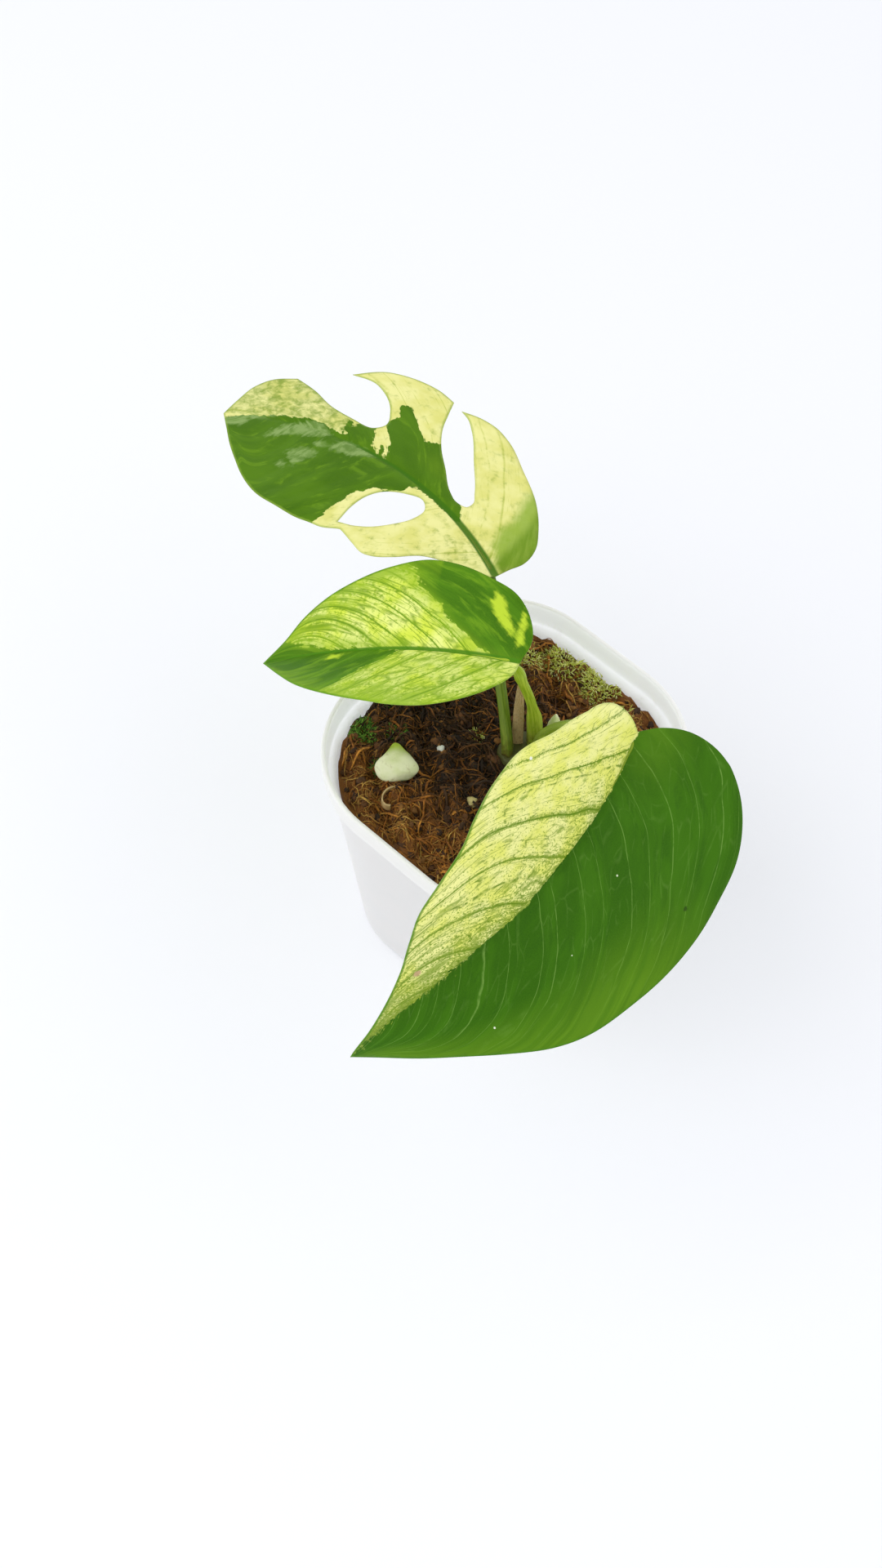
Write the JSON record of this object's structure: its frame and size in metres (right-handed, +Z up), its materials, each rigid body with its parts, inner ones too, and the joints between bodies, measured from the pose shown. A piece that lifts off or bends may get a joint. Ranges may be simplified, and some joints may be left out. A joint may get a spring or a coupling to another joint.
{
  "type": "potted mini monstera",
  "caption": "Young variegated mini monstera with split and whole leaves on slim stalks, in a small white square nursery pot of soil.",
  "frame": {"origin": "centre of the pot's flat base", "axes": "+Z up, X and Y along the pot's sides"},
  "size_m": [0.1323, 0.1684, 0.139],
  "materials": {
    "pot": "satin, slightly translucent white",
    "soil": "loose dark brown fibre and moss",
    "stalk": "smooth satin green",
    "leaf_green": "smooth waxy green with a cream half",
    "leaf_yellow_green": "smooth waxy yellow green, mottled",
    "leaf_cream": "smooth waxy cream with green patches",
    "dry_sheath": "dry and fibrous",
    "pale_growth": "smooth pale green",
    "pale_lump": "rough and chalky"
  },
  "bodies": {
    "root": {"pot": "pot", "soil": "soil", "main_stem": "stalk", "petiole_lower": "stalk", "petiole_middle": "stalk", "petiole_upper": "stalk", "leaf_lower": "leaf_green", "leaf_middle": "leaf_yellow_green", "leaf_upper": "leaf_cream", "dry_sheath": "dry_sheath", "new_bud": "pale_growth", "pale_lump": "pale_lump"}
  },
  "joints": []
}
